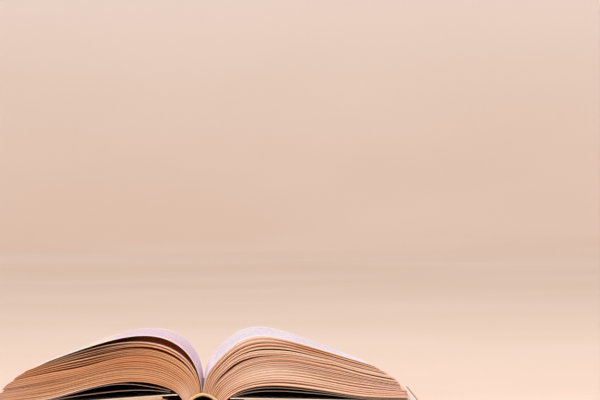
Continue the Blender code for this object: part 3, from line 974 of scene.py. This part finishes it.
def make_leaves(side, half, sections, partings, ripples, patches, steps, air, edge, top_page, rng):
    """One piece for each section of the frame. Every leaf is a closed sheet, and the top one is printed."""
    (upper, lower), extra = leaf_depths(half, air, partings, ripples)
    tones = leaf_tones(extra, rng)
    tail_slips = leaf_slips(rng, EDGE_SLIP)
    head_slips = leaf_slips(rng, EDGE_SLIP)
    fore_slips = stepped(leaf_slips(rng, FORE_EDGE_SLIP), steps)
    ends = np.round(np.cumsum(sections) / sum(sections) * LEAVES).astype(int)
    first = 0
    for number, last in enumerate(ends, 1):
        bm = new_mesh()
        for leaf in range(first, last):
            upper_line = half.leaf_line(upper[leaf], fore_slips[leaf])
            lower_line = half.leaf_line(lower[leaf], fore_slips[leaf])
            share = float(np.mean(upper[leaf] / half.thickness))
            tail = TAIL + tail_slips[leaf] - EDGE_SLIP / 2
            head = HEAD - head_slips[leaf] + EDGE_SLIP / 2
            faces, _ = lay_sheet(bm, upper_line, lower_line, tail, head, tone=float(tones[leaf]),
                                 share=share, patches=patches)
            if leaf == 0:
                set_page_uv(bm, faces)
                for face in faces:
                    face.material_index = 2
        finish_piece(f"{side}_leaves_{number}", bm, [edge, INNER_PAPER, top_page],
                     [f"{side}_section_{number}"], "text_block")
        first = last


def lay_page(bm, half, depth, start, count, rise, seed):
    """Lay an open page at a depth in its half, with the page map on both sides. Gives its lower faces."""
    upper = half.leaf_line(depth, start=start, count=count)
    lower = half.leaf_line(depth + THIN_SHEET, start=start, count=count)
    faces, under = lay_sheet(bm, upper, lower, TAIL, HEAD, PAGE_CROSSWISE, tone=PAGE_TONE,
                             rise=rise, seed=seed)
    set_page_uv(bm, faces + under)
    return under


def make_right_page():
    """The open right page, the uppermost leaf on its side."""
    bm = new_mesh()
    lay_page(bm, RIGHT, RIGHT_AIR - THIN_SHEET - RIGHT_PAGE_AIR, *RIGHT_PAGE_LIE)
    finish_piece("right_open_page", bm, [PAGE_RIM, RIGHT_PAGE], body="text_block")


def make_loose_leaf():
    """The loose left leaf, one sheet that bends where its outer length lifts."""
    bm = new_mesh()
    for face in lay_page(bm, LEFT, np.zeros(len(ALONG)), *LOOSE_LEAF_LIE):
        face.material_index = 2
    leaf = finish_piece("loose_leaf", bm, [PAGE_RIM, LEFT_PAGE, TURNED_PAGE],
                        ["loose_leaf_inner", "loose_leaf_outer"])
    ends = []
    for spread in CREASE_SPREAD:
        x, z = points_at(LOOSE_LEAF_CREASE + spread, ALONG, LEFT.top)
        ends.append((float(x), 0, float(z)))
    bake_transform(leaf, "text_block", "leaf_flap", start=ends[0], end=ends[1])


# The case

def outward(side):
    """The sign of X on a side of the book."""
    return 1 if side == "right" else -1


def cover_slope(side, hinge):
    """The angle about Y at which a cover goes down from its hinge to the table."""
    return outward(side) * atan2(hinge[1] - BOARD - SHEET - GAP, HALF_SPREAD - abs(hinge[0]))


def cover_reach(side, hinge):
    """From the hinge to the cover's outer edge, along the cover."""
    return (HALF_SPREAD - abs(hinge[0])) / cos(cover_slope(side, hinge))


def on_hinge(side, hinge):
    """The matrix that takes a cover piece from its own flat frame to its place on the hinge."""
    return Matrix.Translation((hinge[0], 0, hinge[1])) @ Matrix.Rotation(cover_slope(side, hinge), 4, "Y")


def rounded_box(size, middle, rounding, segments):
    """A box with all its edges rounded."""
    bm = new_mesh()
    bmesh.ops.create_cube(bm, size=1)
    bmesh.ops.scale(bm, vec=size, verts=bm.verts)
    bmesh.ops.translate(bm, vec=middle, verts=bm.verts)
    bmesh.ops.bevel(bm, geom=bm.edges[:], offset=rounding, segments=segments, profile=0.5, affect="EDGES",
                    material=-1)
    return bm


def make_board(side, hinge):
    """A board in its cloth, which shows past the pastedown on the inner face too."""
    sign = outward(side)
    low_x, high_x = sorted((sign * HINGE_TO_BOARD, sign * cover_reach(side, hinge)))
    middle = ((low_x + high_x) / 2, 0, -SHEET - GAP - BOARD / 2)
    bm = rounded_box((high_x - low_x, COVER_HEIGHT, BOARD), middle, BOARD_ROUND, 4)
    bmesh.ops.transform(bm, matrix=on_hinge(side, hinge), verts=bm.verts)
    finish_piece(f"{side}_board_cloth", bm, [CLOTH], [f"{side}_board"], f"{side}_cover")


def make_spine_strip():
    """The flat strip of the case under the block, in its cloth."""
    size = (2 * SPINE_STRIP_HALF, COVER_HEIGHT, SPINE_STRIP)
    bm = rounded_box(size, (0, 0, SPINE_STRIP / 2), STRIP_ROUND, 3)
    finish_piece("case_spine_cloth", bm, [CLOTH], ["case_spine"], "text_block")


def bezier(points, count):
    """Points on a cubic curve through four handles."""
    t = np.linspace(0, 1, count + 1)[:, None]
    a, b, c, d = [np.array(p) for p in points]
    return (1 - t) ** 3 * a + 3 * (1 - t) ** 2 * t * b + 3 * (1 - t) * t ** 2 * c + t ** 3 * d


def plain_sheet(line, thickness, tail=TAIL, head=HEAD, crosswise=CROSSWISE):
    """A sheet of one thickness under a line of X and Z, with no droop."""
    heading = headings(line)
    under = np.column_stack([heading[:, 1], -heading[:, 0]])
    under[under[:, 1] > 0] *= -1
    still_and_along = np.column_stack([np.zeros(len(line)), lengths(line)])
    upper = np.column_stack([line, still_and_along])
    lower = np.column_stack([line + thickness * under, still_and_along])
    bm = new_mesh()
    lay_sheet(bm, upper, lower, tail, head, crosswise)
    return bm


def make_endpaper(side, hinge):
    """One sheet from the block's shoulder, over the joint and down the inner face of the board."""
    sign = outward(side)
    low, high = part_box(f"{side}_endpaper_joint")
    shoulder = low.x if side == "right" else high.x
    near = [(x, hinge[1]) for x in np.linspace(shoulder, hinge[0] - sign * HINGE_CLEAR, 8)]
    outer = cover_reach(side, hinge) - PASTEDOWN_INSET
    down = on_hinge(side, hinge)
    far = [(down @ Vector((sign * d, 0, 0))).xz for d in np.linspace(HINGE_CLEAR, outer, 40)]
    bm = plain_sheet(np.array([*near, *far]), ENDPAPER_SHEET)
    sheet = finish_piece(f"{side}_endpaper", bm, [PAGE_RIM, ENDPAPER],
                         [f"{side}_endpaper_joint", f"{side}_pastedown"])
    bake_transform(sheet, "text_block", f"{side}_cover", start=(hinge[0] - sign * HINGE_BEND, 0, hinge[1]),
             end=(hinge[0] + sign * HINGE_BEND, 0, hinge[1]))


def make_joint_cloth(side, hinge):
    """The cover cloth in the groove between the spine strip and the board."""
    sign = outward(side)
    corner = Vector((sign * (HINGE_TO_BOARD + CLOTH_INTO_BOARD), 0, -SHEET - GAP - BOARD + CLOTH_SHEET))
    start = (sign * (SPINE_STRIP_HALF - CLOTH_TUCK), CLOTH_SHEET + CLOTH_OFF_TABLE)
    end = tuple((on_hinge(side, hinge) @ corner).xz)
    reach = end[0] - start[0]
    after_start = (start[0] + 0.45 * reach, start[1])
    before_end = (end[0] - 0.4 * reach, end[1] + CLOTH_BULGE)
    line = bezier([start, after_start, before_end, end], 28)
    head = COVER_HEIGHT / 2 - CLOTH_SHORT
    bm = plain_sheet(line, CLOTH_SHEET, -head, head, 6)
    cloth = finish_piece(f"{side}_joint_cloth", bm, [CLOTH, CLOTH],
                         [f"{side}_joint_cloth_spine", f"{side}_joint_cloth_board"])
    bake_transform(cloth, "text_block", f"{side}_cover", start=(start[0] + 0.1 * reach, 0, hinge[1]),
             end=(end[0] - 0.05 * reach, 0, hinge[1]))


def make_flyleaves(side):
    """Each flyleaf as thin paper along the middle of the frame's own sheet."""
    for number in (1, 2):
        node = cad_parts[f"{side}_flyleaf_{number}"]
        levels = {}
        for point in [vert.co for vert in node.data.vertices if vert.co.y < 0]:
            levels.setdefault(round(abs(point.x), 5), []).append(point)
        stations = [level for _, level in sorted(levels.items())]
        line = np.array([(points[0].x, sum(p.z for p in points) / len(points)) for points in stations])
        bm = plain_sheet(line + (0, FLYLEAF_SHEET / 2), FLYLEAF_SHEET)
        finish_piece(f"{side}_free_endpaper_{number}", bm, [FLYLEAF_RIM, FLYLEAF_IN_PAINTED_SHADE],
                     [f"{side}_flyleaf_{number}"], "text_block")


# The back of the block

def back_line(inset, reach=1.0, count=28):
    """The rounded back of the block, from foot to foot, moved in towards the hollow."""
    shares = np.linspace(reach, 0, count)
    line = np.vstack([LEFT.fold_line(shares), RIGHT.fold_line(shares[::-1])[1:]])
    heading = headings(line)
    return line + inset * np.column_stack([heading[:, 1], -heading[:, 0]])


def make_lining():
    """The glued gauze over the back."""
    bm = plain_sheet(back_line(GAP), LINING + GAP)
    finish_piece("back_lining", bm, [LINING_CLOTH, LINING_CLOTH], ["spine_lining"],
                 "text_block")


def make_end_band(name, y):
    """Thread wound round a core, over the ends of the folds: a grid rolled into a tube along the back."""
    line = back_line(0, BAND_REACH, 40)
    along = lengths(line)
    turns = round(along[-1] / THREAD_PITCH)
    nearby = 0.0004
    bm = new_mesh()
    verts = bmesh.ops.create_grid(bm, x_segments=4 * turns, y_segments=10, size=0.5)["verts"]
    along_layer = bm.verts.layers.float["along"]
    for vert in verts:
        share = vert.co.x + 0.5
        angle = 2 * pi * (vert.co.y + 0.5)
        at = share * along[-1]
        x, z = points_at(at, along, line)
        ahead, behind = [points_at(at + step, along, line) for step in (nearby, -nearby)]
        heading = Vector((ahead[0] - behind[0], 0, ahead[1] - behind[1])).normalized()
        normal = Vector((-heading.z, 0, heading.x))
        winding = share * turns
        radius = BAND_RADIUS * (1 - THREAD_GROOVE + THREAD_GROOVE * abs(sin(pi * winding)))
        vert.co = Vector((x, y, z)) + radius * (cos(angle) * normal + sin(angle) * Vector((0, 1, 0)))
        vert[along_layer] = winding
    bmesh.ops.remove_doubles(bm, verts=bm.verts, dist=0.00001)
    bmesh.ops.holes_fill(bm, edges=[edge for edge in bm.edges if edge.is_boundary], sides=0)
    finish_piece(f"{name}_thread", bm, [THREAD], [name], "text_block")


# Studio

FLOOR_RADIUS = 6.0
FLOOR_DROP = 0.0002              # so that the floor and the book's underside don't flicker
WALL_CURVE = 2.0
WALL_TOP = 5.0
# Area lamps: (name, where, watts, colour, width)
LAMPS = [
    ("key", (-1.0, -1.3, 2.2), 26, (1.0, 0.96, 0.93), 1.4),
    ("fill", (1.7, -1.9, 0.9), 18, (1.0, 0.95, 0.92), 1.6),
    ("top", (0.2, 0.9, 2.4), 8, (0.97, 0.95, 1.0), 1.8),
]
SUN = ("room", (-1.0, -1.3, 2.2), 0.9, (1.0, 0.96, 0.94))
SUN_WIDTH = 50                   # degrees, as soft as light in a room
AIR_COLOUR = (1.0, 0.955, 0.93, 1)
AIR_STRENGTH = 0.55


def make_studio():
    """A pale floor that curves up into a wall all round, well beyond any camera."""
    profile = [(0.0, 0.0), (FLOOR_RADIUS / 2, 0.0), (FLOOR_RADIUS, 0.0)]
    for angle in np.linspace(0, pi / 2, 12)[1:]:
        profile.append((FLOOR_RADIUS + WALL_CURVE * sin(angle), WALL_CURVE - WALL_CURVE * cos(angle)))
    profile.append((FLOOR_RADIUS + WALL_CURVE, WALL_TOP))
    bm = new_mesh()
    verts = [bm.verts.new((x, 0, z - FLOOR_DROP)) for x, z in profile]
    edges = [bm.edges.new(pair) for pair in zip(verts, verts[1:])]
    bmesh.ops.spin(bm, geom=verts + edges, axis=(0, 0, 1), cent=(0, 0, 0), angle=2 * pi, steps=72,
                   use_merge=True)
    bmesh.ops.remove_doubles(bm, verts=bm.verts, dist=0.0001)
    bmesh.ops.recalc_face_normals(bm, faces=bm.faces)
    mesh = bpy.data.meshes.new("studio")
    bm.to_mesh(mesh)
    bm.free()
    mesh.shade_smooth()
    mesh.materials.append(floor_material())
    studio = bpy.data.objects.new("studio", mesh)
    bpy.context.scene.collection.objects.link(studio)


def make_light(kind, name, where, power, colour):
    """A lamp that points at the book."""
    data = bpy.data.lights.new(name, kind)
    data.energy = power
    data.color = colour
    light = bpy.data.objects.new(name, data)
    light.location = where
    light.rotation_euler = (-Vector(where)).to_track_quat("-Z", "Y").to_euler()
    bpy.context.scene.collection.objects.link(light)
    return data


def make_lights():
    """Soft lamps round the book, a wide sun for the room's light, and pale air."""
    for name, where, watts, colour, width in LAMPS:
        make_light("AREA", name, where, watts, colour).size = width
    make_light("SUN", *SUN).angle = radians(SUN_WIDTH)
    world = bpy.data.worlds.new("studio_air")
    world.use_nodes = True
    background = world.node_tree.nodes["Background"]
    background.inputs["Color"].default_value = AIR_COLOUR
    background.inputs["Strength"].default_value = AIR_STRENGTH
    bpy.context.scene.world = world


# Where the photographer stood, from the edges that run from tail to head
CAMERA_AT = Vector((0.0204, -3.483, 0.1853))
FRAME_WIDTH = 0.450          # of the picture at the tail edge
FRAME_CENTRE = Vector((0.0751, -0.117, 0.1560))
CAMERA_ROLL = 0.88           # degrees that the floor rises towards the right
SENSOR = 36.0


def make_camera():
    """The photographer's camera."""
    data = bpy.data.cameras.new("camera")
    data.sensor_width = SENSOR
    distance = FRAME_CENTRE.y - CAMERA_AT.y
    data.lens = SENSOR * distance / FRAME_WIDTH
    data.clip_start = 0.05
    data.clip_end = 60
    camera = bpy.data.objects.new("camera", data)
    camera.location = CAMERA_AT
    look = (FRAME_CENTRE - CAMERA_AT).to_track_quat("-Z", "Y").to_matrix().to_4x4()
    camera.rotation_euler = (look @ Matrix.Rotation(radians(-CAMERA_ROLL), 4, "Z")).to_euler()
    bpy.context.scene.collection.objects.link(camera)
    bpy.context.scene.camera = camera


def main():
    """Build every piece, then the studio round them."""
    rng = np.random.default_rng(7)
    make_leaves("left", LEFT, LEFT_SECTIONS, LEFT_PARTINGS, LEFT_RIPPLES, LEFT_PATCHES, LEFT_STEPS,
                LEFT_AIR, LEFT_EDGE, UNDER_PAGE, rng)
    make_leaves("right", RIGHT, RIGHT_SECTIONS, RIGHT_PARTINGS, RIGHT_RIPPLES, RIGHT_PATCHES, RIGHT_STEPS,
                RIGHT_AIR, RIGHT_EDGE, RIGHT_PAGE, rng)
    make_right_page()
    make_loose_leaf()
    for side, hinge in (("left", LEFT_HINGE), ("right", RIGHT_HINGE)):
        make_board(side, hinge)
        make_endpaper(side, hinge)
        make_joint_cloth(side, hinge)
        make_flyleaves(side)
    make_spine_strip()
    make_lining()
    band_y = PAGE_HEIGHT / 2 + BAND_RADIUS + GAP
    make_end_band("tail_band", -band_y)
    make_end_band("head_band", band_y)
    make_studio()
    make_lights()
    make_camera()
    bpy.context.scene.view_settings.view_transform = "Standard"


main()
